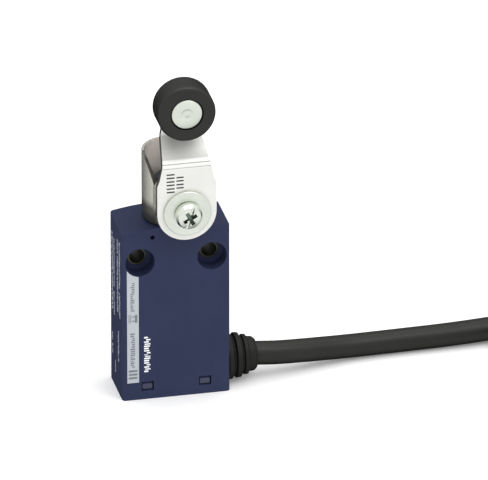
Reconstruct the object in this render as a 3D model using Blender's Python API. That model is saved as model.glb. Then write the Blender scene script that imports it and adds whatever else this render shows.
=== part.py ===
"""A small limit switch with a roller lever and a cable, built as the pieces it comes apart into.

Run it with blender --background --python part.py, or from Blender's text editor.

Frame: +Z up, origin at the centre of the body's bottom face. The front, where the lever sits, faces -Y,
and the cable leaves towards +X. Lengths below are in millimetres; MM turns them into metres when a mesh
is made, so every object in the scene is in metres.
"""

import math

import bmesh
import bpy
from mathutils import Vector

MM = 0.001

# Body: a moulded box with a slightly crowned top
BODY_WIDTH, BODY_DEPTH = 30.0, 16.0
CROWN_TOP, CROWN_RADIUS = 51.6, 75.0
BODY_CORNER = 1.0  # radius of the upright edges
WALL = 1.6
CAVITY_TOP = 34.0
GAP = 0.3  # between pieces that touch or slide
PRESS = 0.1  # between pieces pressed or glued together

# Fixing holes
FIXING_X, FIXING_Z = 10.0, 41.45
COUNTERBORE_R, COUNTERBORE_FLOOR = 4.1, -3.7
SLEEVE_R, SLEEVE_BORE_R = 2.6, 2.1

# Snap windows and the base cover's tabs
WINDOW_X, WINDOW_Z = 8.0, 3.9
WINDOW_W, WINDOW_H = 3.4, 2.7
COVER_THICK = 1.8

# Shaft, head and lever share one axis along Y
PIVOT_X, PIVOT_Z = 2.0, 57.6
SHAFT_R, BUSH_BORE_R = 2.4, 2.46
HEAD_Y, HEAD_R = -0.5, 6.4
HEAD_BASE, HEAD_TOP = 51.9, 62.9
SPIGOT_R, SPIGOT_END = 5.2, 46.9
CAM_R, CAM_FLAT = 3.6, 2.9
REAR_BORE_R, FRONT_BORE_R = 4.0, 3.6

# Head bracket: one bent sheet, open towards +X
BRACKET_R, BRACKET_THICK = 8.4, 0.8
BRACKET_X, BRACKET_Y = 0.6, -0.8
BRACKET_FOOT, BRACKET_TOP = 52.0, 71.3
LEG_R, LEG_TOP = 8.4, 66.0
RIM_Y, RIM_Z = 0.3, 58.0  # centre of the ellipse that the rim follows down to the front
RIM_REACH, RIM_RISE = 7.2, 13.35
RIM_FIRST, RIM_STEP = 25.0, 6.5  # degrees round that ellipse
REAR_CORNER_R = 6.0

# Lever: bent plate from the clamped round end up to the roller
LEVER_FRONT, LEVER_THICK = -12.8, 1.5
LEVER_R = 8.2
LEVER_BEND_Z = 71.8
LEVER_LEAN = math.radians(54)
LEVER_BACK = -5.0  # front face of the upper plate
LEVER_LENGTH = 29.3
ROLLER_R = 8.0
ROLLER_FRONT, ROLLER_REAR = -13.5, -5.3
ROLLER_BORE_R, ROLLER_BUSH_R, PIN_BORE_R, PIN_R = 2.6, 2.5, 1.88, 1.8
CAP_R = 4.3
# The screw's cross recess and driver slot: angle in degrees, half length, half width, floor
RECESSES = ((28, 2.0, 0.5, -15.6), (118, 2.0, 0.5, -15.5), (73, 4.2, 0.4, -16.5))

# Plunger and contacts, in line under the cam
PLUNGER_R, PLUNGER_TOP, PLUNGER_FOOT = 1.9, 53.7, 33.9
COLLAR_R, COLLAR_Z = 2.9, 38.6
GUIDE_R, GUIDE_FOOT = 2.9, 41.6
BRIDGE_HALF = 5.8
TAIL_END = 10.5

# Cable and gland
CABLE_D = 6.6
CABLE_Z = 6.7
GLAND_NECK_R, GLAND_END = 4.6, 23.7
CORE_D = 1.4
CORE_LANES = (-2.4, -0.8, 0.8, 2.4)
CABLE_SIDE = 6.9  # Y of the straight run and of the hank's near side

# Hank of put-away cable: two turns wide, two layers high
HANK_FOLD_R = 3 * CABLE_D
HANK_OUTER_R = HANK_FOLD_R + CABLE_D
HANK_NEAR_X = 121.7  # centre of the folds at the object's end
HANK_RUN = 71.4
HANK_FLOOR = 0.7
HANK_Y = CABLE_SIDE - HANK_OUTER_R
CABLE_ROUTE = (
    (24.3, 0.0, 6.65),
    (27.0, 0.0, 6.4),
    (31.0, 0.35, 5.98),
    (37.0, 1.45, 5.3),
    (44.0, 3.05, 4.42),
    (51.0, 4.4, 3.72),
    (58.0, 5.15, 3.42),
    (68.0, 5.6, 3.35),
    (80.0, 5.95, 3.42),
    (92.0, 6.55, 3.7),
    (102.3, 6.9, 4.0),
)

SEGMENTS = 32


def clear_scene():
    for obj in list(bpy.data.objects):
        bpy.data.objects.remove(obj)


def material(name, color, roughness, metallic=0.0):
    made = bpy.data.materials.new(name)
    made.use_nodes = True
    shader = made.node_tree.nodes["Principled BSDF"]
    shader.inputs["Base Color"].default_value = (*color, 1)
    shader.inputs["Roughness"].default_value = roughness
    shader.inputs["Metallic"].default_value = metallic
    return made


def finished(name, bm, look, origin=(0, 0, 0)):
    """Makes the object of a bmesh in millimetres, with its origin at a point in millimetres."""
    bmesh.ops.remove_doubles(bm, verts=bm.verts, dist=1e-4)
    bmesh.ops.recalc_face_normals(bm, faces=bm.faces)
    for vert in bm.verts:
        vert.co = (vert.co - Vector(origin)) * MM
    mesh = bpy.data.meshes.new(name)
    bm.to_mesh(mesh)
    bm.free()
    mesh.materials.append(look)
    mesh.shade_smooth()
    mesh.set_sharp_from_angle(angle=math.radians(30))
    obj = bpy.data.objects.new(name, mesh)
    obj.location = Vector(origin) * MM
    bpy.context.scene.collection.objects.link(obj)
    return obj


def placed(axis, along, across, upward):
    """The point at a distance along an axis, and at the other two coordinates in X, Y, Z order."""
    order = {"X": (along, across, upward), "Y": (across, along, upward), "Z": (across, upward, along)}
    return Vector(order[axis])


def extruded(name, outline, axis, start, end, look, origin=(0, 0, 0)):
    """A prism: an outline of (across, upward) points, pushed along an axis from start to end."""
    bm = bmesh.new()
    face = bm.faces.new([bm.verts.new(placed(axis, start, u, v)) for u, v in outline])
    pushed = bmesh.ops.extrude_face_region(bm, geom=[face])["geom"]
    bmesh.ops.translate(
        bm,
        verts=[g for g in pushed if isinstance(g, bmesh.types.BMVert)],
        vec=placed(axis, end - start, 0, 0),
    )
    return finished(name, bm, look, origin)


def turned(name, profile, axis, centre, look, closed=False, origin=(0, 0, 0), segments=SEGMENTS):
    """A turned solid: a profile of (along, radius) points, spun round an axis through centre."""
    bm = bmesh.new()
    u, v = centre
    verts = [bm.verts.new(placed(axis, a, u, v) + placed(axis, 0, 0, r)) for a, r in profile]
    pairs = list(zip(verts, verts[1:])) + ([(verts[-1], verts[0])] if closed else [])
    edges = [bm.edges.new(pair) for pair in pairs]
    bmesh.ops.spin(
        bm,
        geom=verts + edges,
        cent=placed(axis, 0, u, v),
        axis=placed(axis, 1, 0, 0),
        angle=math.tau,
        steps=segments,
        use_merge=True,
    )
    return finished(name, bm, look, origin)


def block(name, low, high, look, origin=(0, 0, 0)):
    (x0, y0, z0), (x1, y1, z1) = low, high
    return extruded(name, [(x0, y0), (x1, y0), (x1, y1), (x0, y1)], "Z", z0, z1, look, origin)


def rod(name, axis, centre, radius, start, end, look, origin=(0, 0, 0), segments=SEGMENTS):
    profile = [(start, 0), (start, radius), (end, radius), (end, 0)]
    return turned(name, profile, axis, centre, look, origin=origin, segments=segments)


def ring(name, axis, centre, inner, outer, start, end, look, origin=(0, 0, 0)):
    profile = [(start, inner), (start, outer), (end, outer), (end, inner)]
    return turned(name, profile, axis, centre, look, closed=True, origin=origin)


def helper(obj):
    obj.hide_render = True
    obj.display_type = "WIRE"
    return obj


def combined(obj, operation, *others):
    for other in others:
        modifier = obj.modifiers.new(f"{operation.lower()}_{other.name}", "BOOLEAN")
        modifier.operation = operation
        modifier.solver = "EXACT"
        modifier.object = helper(other)
    return obj


def cut(obj, *cutters):
    return combined(obj, "DIFFERENCE", *cutters)


def joined(obj, *pieces):
    return combined(obj, "UNION", *pieces)


def arc(u, v, radius, start, end, steps):
    """Points of an arc round (u, v), from one angle to another in degrees."""
    angles = [math.radians(start + (end - start) * i / steps) for i in range(steps + 1)]
    return [(u + radius * math.cos(a), v + radius * math.sin(a)) for a in angles]


def rounded_box(half_u, half_v, radius, steps=3):
    corners = ((1, 1, 0), (-1, 1, 90), (-1, -1, 180), (1, -1, 270))
    points = []
    for su, sv, start in corners:
        points += arc(su * (half_u - radius), sv * (half_v - radius), radius, start, start + 90, steps)
    return points


def bent_strip(points, thickness, inner_radius, steps=4):
    """The side view of a plate bent along a line of corners: (across, upward) points on its front face."""
    line = [Vector(p) for p in points]
    path = [(line[0], (line[1] - line[0]).normalized())]
    for before, corner, after in zip(line, line[1:], line[2:]):
        arriving, leaving = (corner - before).normalized(), (after - corner).normalized()
        turn = arriving.angle_signed(leaving)
        radius = inner_radius + (thickness if turn > 0 else 0)
        reach = radius * math.tan(abs(turn) / 2)
        inward = Vector((arriving.y, -arriving.x)) * math.copysign(1, turn)
        tangent = corner - arriving * reach
        centre = tangent + inward * radius
        for i in range(steps + 1):
            angle = -turn * i / steps
            spoke = tangent - centre
            spun = Vector(
                (
                    spoke.x * math.cos(angle) - spoke.y * math.sin(angle),
                    spoke.x * math.sin(angle) + spoke.y * math.cos(angle),
                )
            )
            heading = Vector(
                (
                    arriving.x * math.cos(angle) - arriving.y * math.sin(angle),
                    arriving.x * math.sin(angle) + arriving.y * math.cos(angle),
                )
            )
            path.append((centre + spun, heading))
    path.append((line[-1], (line[-1] - line[-2]).normalized()))
    front = [tuple(p) for p, _ in path]
    rear = [(p.x + d.y * thickness, p.y - d.x * thickness) for p, d in path]
    return front + rear[::-1]


def tube(name, points, diameter, look, rounding=3):
    curve = bpy.data.curves.new(name, "CURVE")
    curve.dimensions = "3D"
    curve.bevel_depth = diameter / 2 * MM
    curve.bevel_resolution = rounding
    curve.use_fill_caps = True
    spline = curve.splines.new("POLY")
    spline.points.add(len(points) - 1)
    for point, place in zip(spline.points, points):
        point.co = (*(Vector(place) * MM), 1)
    curve.materials.append(look)
    obj = bpy.data.objects.new(name, curve)
    bpy.context.scene.collection.objects.link(obj)
    return obj


def smooth_route(points, spacing):
    """Points a spacing apart along a Catmull-Rom curve through the given points."""
    stops = [Vector(p) for p in points]
    ends = [2 * stops[0] - stops[1], *stops, 2 * stops[-1] - stops[-2]]
    fine = [stops[0]]
    for a, b, c, d in zip(ends, ends[1:], ends[2:], ends[3:]):
        for i in range(1, 21):
            t = i / 20
            second, third = 2 * a - 5 * b + 4 * c - d, 3 * b - 3 * c + d - a
            place = 2 * b + (c - a) * t + second * t**2 + third * t**3
            fine.append(place / 2)
    kept = [fine[0]]
    for place in fine[1:-1]:
        if (place - kept[-1]).length >= spacing:
            kept.append(place)
    if (fine[-1] - kept[-1]).length < spacing / 2:
        kept.pop()
    return kept + [fine[-1]]


def coil_spring(name, centre, coil_r, wire_d, foot, top, turns, look, per_turn=12):
    """A compression spring round a vertical axis."""
    count = int(turns * per_turn)
    low, high = foot + wire_d / 2, top - wire_d / 2
    points = []
    for i in range(count + 1):
        angle = math.tau * i / per_turn
        points.append(
            (
                centre[0] + coil_r * math.cos(angle),
                centre[1] + coil_r * math.sin(angle),
                low + (high - low) * i / count,
            )
        )
    return tube(name, points, wire_d, look, rounding=1)


# ---------------------------------------------------------------- casing


def crown_height(x):
    """Height of the body's top above its base, at a distance from the middle."""
    return CROWN_TOP - CROWN_RADIUS + math.sqrt(CROWN_RADIUS**2 - x**2)


def body_shell(blue):
    plan = rounded_box(BODY_WIDTH / 2, BODY_DEPTH / 2, BODY_CORNER)
    shell = extruded("body_shell", plan, "Z", 0, CROWN_TOP + 3, blue)
    reach = BODY_WIDTH / 2 + 2
    xs = [reach - 2 * reach * i / 16 for i in range(17)]
    crown = [(-reach, -2.0), (reach, -2.0)] + [(x, crown_height(x)) for x in xs]
    envelope = extruded("crown_envelope", crown, "Y", -BODY_DEPTH, BODY_DEPTH, blue)
    combined(shell, "INTERSECT", envelope)
    inside_x, inside_y = BODY_WIDTH / 2 - WALL - 0.2, BODY_DEPTH / 2 - WALL
    cavity = block("cavity", (-inside_x, -inside_y, -2), (inside_x, inside_y, CAVITY_TOP), blue)
    seat_r, well_r, socket_r = GUIDE_R + PRESS, COLLAR_R + GAP, SPIGOT_R + 0.2
    bore = [
        (30.0, 0),
        (30.0, well_r),
        (GUIDE_FOOT - GAP, well_r),
        (GUIDE_FOOT - GAP, seat_r),
        (SPIGOT_END - GAP, seat_r),
        (SPIGOT_END - GAP, socket_r),
        (CROWN_TOP + 8, socket_r),
        (CROWN_TOP + 8, 0),
    ]
    centre_bore = turned("centre_bore", bore, "Z", (PIVOT_X, HEAD_Y), blue)
    gland_hole = rod("gland_hole", "X", (0, CABLE_Z), GLAND_NECK_R + PRESS, 12, 18, blue)
    pin_hole = rod("pin_hole", "Y", (-6.5, 48.6), 0.65, -9, -5, blue, segments=12)
    cut(shell, cavity, centre_bore, gland_hole, pin_hole)
    fixing = [
        (-BODY_DEPTH, 0),
        (-BODY_DEPTH, COUNTERBORE_R),
        (COUNTERBORE_FLOOR, COUNTERBORE_R),
        (COUNTERBORE_FLOOR, SLEEVE_R + PRESS),
        (BODY_DEPTH, SLEEVE_R + PRESS),
        (BODY_DEPTH, 0),
    ]
    for side in (-1, 1):
        middle = side * WINDOW_X
        low = (middle - WINDOW_W / 2, -BODY_DEPTH, WINDOW_Z - WINDOW_H / 2)
        high = (middle + WINDOW_W / 2, BODY_DEPTH, WINDOW_Z + WINDOW_H / 2)
        cut(
            shell,
            turned(f"fixing_bore_{side}", fixing, "Y", (side * FIXING_X, FIXING_Z), blue),
            block(f"windows_{side}", low, high, blue),
        )
    return shell


def base_cover(blue):
    half_x, half_y = BODY_WIDTH / 2 - WALL - 0.2 - GAP, BODY_DEPTH / 2 - WALL - GAP
    cover = block("base_cover", (-half_x, -half_y, 0), (half_x, half_y, COVER_THICK), blue)
    arm = half_y - 0.05
    low, high = WINDOW_Z - WINDOW_H / 2 + GAP, WINDOW_Z + WINDOW_H / 2 - GAP
    hook = BODY_DEPTH / 2 - 0.45
    for side in (-1, 1):
        for face in (-1, 1):
            outline = [
                (face * (arm - 1.1), 1.0),
                (face * arm, 1.0),
                (face * arm, low),
                (face * hook, low),
                (face * hook, high - 0.5),
                (face * (hook - 0.5), high),
                (face * (arm - 1.1), high),
            ]
            middle = side * WINDOW_X
            tab_half = WINDOW_W / 2 - GAP
            left, right = middle - tab_half, middle + tab_half
            tab = extruded(f"tab_{side}_{face}", outline, "X", left, right, blue)
            joined(cover, tab)
    return cover


def fixing_sleeves(steel):
    for side, name in ((-1, "fixing_sleeve_left"), (1, "fixing_sleeve_right")):
        seat = (side * FIXING_X, FIXING_Z)
        ring(name, "Y", seat, SLEEVE_BORE_R, SLEEVE_R, COUNTERBORE_FLOOR + 0.05, 7.95, steel)


def front_label(paper):
    outline = [(-13.7, 5.3), (-10.45, 5.3), (-10.45, 42.0), (-13.7, 42.0)]
    label = extruded("front_label", outline, "Y", -8.14, -8.02, paper)
    rim = rod("label_rim", "Y", (-FIXING_X, FIXING_Z), COUNTERBORE_R + 0.15, -9, -7, paper)
    return cut(label, rim)


# ---------------------------------------------------------------- head


def operating_head(dark):
    profile = [
        (SPIGOT_END, 0),
        (SPIGOT_END, SPIGOT_R),
        (HEAD_BASE, SPIGOT_R),
        (HEAD_BASE, HEAD_R),
        (HEAD_TOP - 0.6, HEAD_R),
        (HEAD_TOP, HEAD_R - 0.6),
        (HEAD_TOP, 0),
    ]
    head = turned("operating_head", profile, "Z", (PIVOT_X, HEAD_Y), dark)
    pivot = (PIVOT_X, PIVOT_Z)
    return cut(
        head,
        rod("front_bore", "Y", pivot, FRONT_BORE_R, -9, -3, dark),
        rod("rear_bore", "Y", pivot, REAR_BORE_R, -3.2, 8, dark),
        rod("plunger_bore", "Z", (PIVOT_X, HEAD_Y), PLUNGER_R + 0.2, 45, PIVOT_Z, dark),
    )


def head_bracket(steel):
    inner = BRACKET_R - BRACKET_THICK
    outside = arc(BRACKET_X, BRACKET_Y, BRACKET_R, 90, 270, 28)
    inside = arc(BRACKET_X, BRACKET_Y, inner, 270, 90, 28)
    stub, leg = BRACKET_X + 0.9, BRACKET_X + 8.0  # ends of the front flange and of the rear leg
    front_outer, front_inner = BRACKET_Y - BRACKET_R, BRACKET_Y - inner
    rear_outer, rear_inner = BRACKET_Y + BRACKET_R, BRACKET_Y + inner
    outer = [(leg, rear_outer), *outside, (stub, front_outer)]
    plan = [*outer, (stub, front_inner), *inside, (leg, rear_inner)]
    bracket = extruded("head_bracket", plan, "Z", BRACKET_FOOT, BRACKET_TOP, steel)
    above = BRACKET_TOP + 4
    slope = []
    for i in range(11):
        angle = math.radians(RIM_FIRST + RIM_STEP * i)
        slope.append((RIM_Y - RIM_REACH * math.cos(angle), RIM_Z + RIM_RISE * math.sin(angle)))
    slope = [(-12.0, slope[0][1]), *slope, (RIM_Y, above), (-12.0, above)]
    rim = extruded("rim_cutter", slope, "X", -12, 14, steel)
    turn_x, turn_z = leg - REAR_CORNER_R - 0.1, BRACKET_TOP - REAR_CORNER_R - 0.1
    corner = arc(turn_x, turn_z, REAR_CORNER_R, 0, 90, 8)
    corner = [(leg + 2, turn_z), *corner, (turn_x, above), (leg + 2, above)]
    rear_corner = extruded("rear_corner_cutter", corner, "Y", 4, 9, steel)
    cut(bracket, rim, rear_corner)
    left, right = PIVOT_X - LEG_R, PIVOT_X + LEG_R
    face = [
        *arc(PIVOT_X, PIVOT_Z, LEG_R, 180, 360, 24),
        *arc(right - 2, LEG_TOP - 2, 2, 0, 90, 4),
        *arc(left + 2, LEG_TOP - 2, 2, 90, 180, 4),
    ]
    front_leg = extruded("front_leg", face, "Y", front_outer - 0.05, front_inner + 0.05, steel)
    joined(bracket, front_leg)
    pivot = (PIVOT_X, PIVOT_Z)
    return cut(
        bracket,
        rod("front_leg_hole", "Y", pivot, FRONT_BORE_R + 0.2, -11, -7.5, steel),
        rod("rear_leg_hole", "Y", pivot, 3.3, 5, 10, steel),
    )


def shaft_bushes(bronze):
    pivot = (PIVOT_X, PIVOT_Z)
    ring("front_bush", "Y", pivot, BUSH_BORE_R, FRONT_BORE_R - PRESS, -9.2, -3.5, bronze)
    outer = REAR_BORE_R - PRESS
    profile = [(2.9, BUSH_BORE_R), (2.9, outer), (5.6, outer), (5.6, 3.0), (7.7, 3.0), (7.7, BUSH_BORE_R)]
    turned("rear_bush", profile, "Y", pivot, bronze, closed=True)


def lever_shaft(steel):
    profile = [(-6.2, 0), (-6.2, 1.6), (-12.6, 1.6), (-12.6, SHAFT_R), (7.4, SHAFT_R), (7.4, 0)]
    pivot = (PIVOT_X, PIVOT_Z)
    return turned("lever_shaft", profile, "Y", pivot, steel, origin=(PIVOT_X, 0, PIVOT_Z))


def cam(steel):
    half_flat = math.degrees(math.acos(CAM_FLAT / CAM_R))
    outline = arc(PIVOT_X, PIVOT_Z, CAM_R, -90 + half_flat, 270 - half_flat, 28)
    disc = extruded("cam", outline, "Y", -2.9, 2.6, steel, origin=(PIVOT_X, 0, PIVOT_Z))
    return cut(disc, rod("cam_bore", "Y", (PIVOT_X, PIVOT_Z), SHAFT_R + 0.06, -5, 5, steel))


def index_washer(steel):
    teeth = 24
    outline = []
    for i in range(teeth):
        for offset, radius in ((0.0, 5.0), (0.25, 5.5), (0.75, 5.5), (1.0, 5.0)):
            angle = math.tau * (i + offset * 0.96) / teeth
            outline.append((PIVOT_X + radius * math.cos(angle), PIVOT_Z + radius * math.sin(angle)))
    washer = extruded("index_washer", outline, "Y", -11.0, -9.5, steel, origin=(PIVOT_X, 0, PIVOT_Z))
    return cut(washer, rod("index_bore", "Y", (PIVOT_X, PIVOT_Z), SHAFT_R + GAP, -12, -9, steel))


# ---------------------------------------------------------------- lever and roller


def lever(steel):
    rise = (LEVER_BACK - LEVER_FRONT) / math.tan(LEVER_LEAN)
    roller_z = PIVOT_Z + LEVER_LENGTH
    side = [
        (LEVER_FRONT, PIVOT_Z - LEVER_R - 2),
        (LEVER_FRONT, LEVER_BEND_Z),
        (LEVER_BACK, LEVER_BEND_Z + rise),
        (LEVER_BACK, roller_z + 10),
    ]
    plate = extruded(
        "lever",
        bent_strip(side, LEVER_THICK, 1.2),
        "X",
        PIVOT_X - 12,
        PIVOT_X + 12,
        steel,
        origin=(PIVOT_X, 0, PIVOT_Z),
    )
    half_top = 4.8
    right = [
        (LEVER_R, PIVOT_Z),
        (LEVER_R, 65.8),
        (7.5, 67.6),
        (6.75, LEVER_BEND_Z - 0.6),
        (6.45, LEVER_BEND_Z + 1.1),
        (5.75, LEVER_BEND_Z + 4.7),
        (5.3, LEVER_BEND_Z + 7.2),
        (half_top + 0.1, LEVER_BEND_Z + 10.5),
    ]
    top = arc(0, roller_z, half_top, 0, 180, 16)
    left = [(-u, v) for u, v in right[::-1]]
    bottom = arc(0, PIVOT_Z, LEVER_R, 180, 360, 28)[1:-1]
    face = [(PIVOT_X + u, v) for u, v in [*right, *top, *left, *bottom]]
    combined(plate, "INTERSECT", extruded("lever_face", face, "Y", -16, 0, steel))
    return cut(
        plate,
        rod("lever_hole", "Y", (PIVOT_X, PIVOT_Z), SHAFT_R + GAP, -16, -9, steel),
        rod("pin_seat", "Y", (PIVOT_X, roller_z), PIN_R + PRESS, -9, 0, steel),
    )


def lever_fasteners(zinc):
    pivot, origin = (PIVOT_X, PIVOT_Z), (PIVOT_X, 0, PIVOT_Z)
    ring("flat_washer", "Y", pivot, 1.8, 6.5, -13.9, -13.1, zinc, origin=origin)
    profile = [
        (-6.5, 0),
        (-6.5, 1.4),
        (-14.2, 1.4),
        (-14.2, 3.7),
        (-15.8, 3.7),
        (-16.8, 3.1),
        (-17.3, 2.0),
        (-17.3, 0),
    ]
    screw = turned("lever_screw", profile, "Y", pivot, zinc, origin=origin)
    for angle, half_long, half_wide, floor in RECESSES:
        c, s = math.cos(math.radians(angle)), math.sin(math.radians(angle))
        outline = []
        for along, across in ((1, 1), (-1, 1), (-1, -1), (1, -1)):
            u, v = along * half_long, across * half_wide
            outline.append((PIVOT_X + u * c - v * s, PIVOT_Z + u * s + v * c))
        cut(screw, extruded(f"recess_{angle}", outline, "Y", -19, floor, zinc))


def roller_set(black, brass, steel):
    hub = (PIVOT_X, PIVOT_Z + LEVER_LENGTH)
    origin = (PIVOT_X, 0, PIVOT_Z + LEVER_LENGTH)
    well, edge = CAP_R + GAP, 0.75
    tyre = [
        (ROLLER_FRONT + 1.3, ROLLER_BORE_R),
        (ROLLER_FRONT + 1.3, well),
        (ROLLER_FRONT, well),
        (ROLLER_FRONT, ROLLER_R - edge),
        (ROLLER_FRONT + edge, ROLLER_R),
        (ROLLER_REAR - edge, ROLLER_R),
        (ROLLER_REAR, ROLLER_R - edge),
        (ROLLER_REAR, ROLLER_BORE_R),
    ]
    turned("roller", tyre, "Y", hub, black, closed=True, origin=origin, segments=48)
    ring("roller_bush", "Y", hub, PIN_BORE_R, ROLLER_BUSH_R, -12.1, -5.35, brass, origin=origin)
    pin = [
        (-13.6, 0),
        (-13.6, CAP_R - 0.4),
        (-13.3, CAP_R),
        (-12.5, CAP_R),
        (-12.5, PIN_R),
        (-3.2, PIN_R),
        (-3.2, 2.8),
        (-2.5, 2.5),
        (-2.5, 0),
    ]
    turned("roller_pin", pin, "Y", hub, steel, origin=origin)


# ---------------------------------------------------------------- plunger and contacts


def plunger_set(white, steel):
    axis = (PIVOT_X, HEAD_Y)
    profile = [
        (PLUNGER_FOOT, 0),
        (PLUNGER_FOOT, 1.6),
        (COLLAR_Z, 1.6),
        (COLLAR_Z, COLLAR_R),
        (COLLAR_Z + 1, COLLAR_R),
        (COLLAR_Z + 1, PLUNGER_R),
        (PLUNGER_TOP - 0.5, PLUNGER_R),
        (PLUNGER_TOP, 1.2),
        (PLUNGER_TOP, 0),
    ]
    turned("plunger", profile, "Z", axis, white, segments=24)
    ring("plunger_guide", "Z", axis, PLUNGER_R + 0.1, GUIDE_R, GUIDE_FOOT, SPIGOT_END - 2 * GAP, white)
    coil_spring("plunger_return_spring", axis, 2.35, 0.5, 33.6, COLLAR_Z - GAP, 4, steel)


def contact_block(white, clear):
    housing = block("contact_block_housing", (-12.4, -5.0, 12.5), (12.4, 5.9, 33.3), white)
    pocket = block("contact_pocket", (-11, -9, 14.5), (11, 4.4, 31.7), white)
    roof = rod("contact_roof_hole", "Z", (PIVOT_X, HEAD_Y), 2.3, 31, 36, white)
    cut(housing, pocket, roof)
    for x in tail_places():
        slot = block(f"tail_slot_{x:.0f}", (x - 0.6, -3.3, 10), (x + 0.6, 3.3, 16), white)
        cut(housing, slot)
    block("contact_block_cover", (-12.4, -6.1, 12.5), (12.4, -5.3, 33.3), clear)


def tail_places():
    """X of the four fixed contacts' tails: closed left, open left, open right, closed right."""
    return [PIVOT_X - 7.5, PIVOT_X - 5.9, PIVOT_X + 5.9, PIVOT_X + 7.5]


def fixed_contacts(brass):
    tails = tail_places()
    for name, x, level in (
        ("fixed_contact_nc_left", tails[0], 29.6),
        ("fixed_contact_nc_right", tails[3], 29.6),
        ("fixed_contact_no_left", tails[1], 18.9),
        ("fixed_contact_no_right", tails[2], 18.9),
    ):
        inward = 1 if x < PIVOT_X else -1
        tip = PIVOT_X - inward * 3.6
        outline = [
            (x - inward * 0.3, TAIL_END),
            (x + inward * 0.3, TAIL_END),
            (x + inward * 0.3, level - 0.6),
            (tip, level - 0.6),
            (tip, level),
            (x - inward * 0.3, level),
        ]
        extruded(name, outline, "Y", -3.0, 3.0, brass)


def moving_contacts(white, brass, steel):
    low, high = 18.8, 30.5
    carrier = block("contact_carrier", (PIVOT_X - 2.5, -3.5, low), (PIVOT_X + 2.5, 3.5, high), white)
    joined(carrier, rod("carrier_stem", "Z", (PIVOT_X, HEAD_Y), 1.7, high - 1, 33.6, white))
    for name, level in (("bridge_nc", 27.6), ("bridge_no", 21.4)):
        window = block(f"window_{name}", (-9, -2.2, level - 1.2), (12, 2.2, level + 1.6), white)
        cut(carrier, window)
        bar = block(
            name, (PIVOT_X - BRIDGE_HALF, -1.8, level), (PIVOT_X + BRIDGE_HALF, 1.8, level + 0.8), brass
        )
        tip_low, tip_high = (level + 0.4, level + 1.1) if name == "bridge_nc" else (level - 0.5, level + 0.4)
        for side in (-1, 1):
            seat = (PIVOT_X + side * (BRIDGE_HALF - 1.2), 0)
            joined(bar, rod(f"tip_{name}_{side}", "Z", seat, 1.0, tip_low, tip_high, brass, segments=16))
    coil_spring("carrier_spring", (PIVOT_X, HEAD_Y), 1.7, 0.4, 14.8, low - GAP, 3, steel)


# ---------------------------------------------------------------- cable


def gland(rubber):
    bore = CABLE_D / 2 + PRESS
    profile = [
        (12.9, bore),
        (12.9, GLAND_NECK_R),
        (15.3, GLAND_NECK_R),
        (15.3, 6.55),
        (16.7, 6.5),
        (17.0, 5.5),
        (17.5, 5.4),
        (17.8, 6.3),
        (19.1, 6.2),
        (19.4, 5.0),
        (19.8, 4.95),
        (20.1, 5.6),
        (21.1, 5.55),
        (21.4, 4.9),
        (22.9, 4.75),
        (GLAND_END, 4.1),
        (GLAND_END, bore),
    ]
    return turned("cable_gland", profile, "X", (0, CABLE_Z), rubber, closed=True)


def inner_cable(black, clamp_look, core_looks):
    sheath = (11.6, GLAND_END - 0.2)
    rod("cable_inner_end", "X", (0, CABLE_Z), CABLE_D / 2, *sheath, black, segments=24)
    clamp = block("cable_clamp", (11.9, -6.0, 2.2), (12.6, 6.0, 11.9), clamp_look)
    cut(clamp, rod("clamp_hole", "X", (0, CABLE_Z), CABLE_D / 2 + GAP, 11, 14, clamp_look))
    for (name, look), x, lane in zip(core_looks.items(), tail_places(), CORE_LANES):
        bend = 1.0
        elbow = [(u, lane, v) for u, v in arc(x + bend, CABLE_Z + bend, bend, 180, 270, 4)]
        route = [(x, lane, TAIL_END - GAP), *elbow, (11.3, lane, CABLE_Z)]
        tube(f"inner_core_{name}", route, CORE_D, look, 2)


def hank_outline(radius, steps=14):
    far_x = HANK_NEAR_X + HANK_RUN
    return arc(far_x, HANK_Y, radius, -90, 90, steps) + arc(HANK_NEAR_X, HANK_Y, radius, 90, 270, steps)


def tail_offset(x):
    """Distance from the hank's middle line to the cable's last stretch, which leaves the inner turn."""
    share = min(max((x - HANK_NEAR_X) / 30, 0), 1)
    return HANK_FOLD_R - 8.5 * (1 - math.cos(math.pi * share)) / 2


def free_cable(black, tie_look, core_looks):
    tube("cable", smooth_route(CABLE_ROUTE, 2.2 * CABLE_D), CABLE_D, black)
    height = 2 * CABLE_D
    hank = extruded(
        "cable_hank",
        hank_outline(HANK_OUTER_R + CABLE_D / 2),
        "Z",
        HANK_FLOOR,
        HANK_FLOOR + height,
        black,
    )
    hole = hank_outline(HANK_FOLD_R - CABLE_D / 2)
    cut(hank, extruded("hank_hole", hole, "Z", HANK_FLOOR - 1, HANK_FLOOR + height + 1, black))
    tie_x = HANK_NEAR_X + HANK_RUN / 2
    middle = HANK_Y - (HANK_FOLD_R + HANK_OUTER_R) / 2
    half, top = CABLE_D + GAP, HANK_FLOOR + height + GAP
    near, far = middle - half, middle + half
    low, high = (tie_x - 1.8, near - 0.8, 0), (tie_x + 1.8, far + 0.8, top + 0.8)
    tie = block("cable_tie", low, high, tie_look)
    inside = block("tie_inside", (tie_x - 4, near, 0.4), (tie_x + 4, far, top), tie_look)
    cut(tie, inside)
    start, end = HANK_NEAR_X + 24.0, HANK_NEAR_X + 42.0
    level = HANK_FLOOR + CABLE_D / 2
    tail = [(x, HANK_Y + tail_offset(x), level) for x in (start, (start + end) / 2, end)]
    tube("cable_tail", tail, CABLE_D, black)
    side = tail[-1][1]
    for i, (name, look) in enumerate(core_looks.items()):
        lane = side + CORE_LANES[i] * 0.85
        sway = (i - 3) * 2.0
        shares = [n / 4 for n in range(5)]
        points = [(end + 0.6 + 19 * t, lane + sway * t * t, level - 1.2 * t) for t in shares]
        tube(f"free_core_{name}", points, CORE_D, look, 2)


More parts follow.
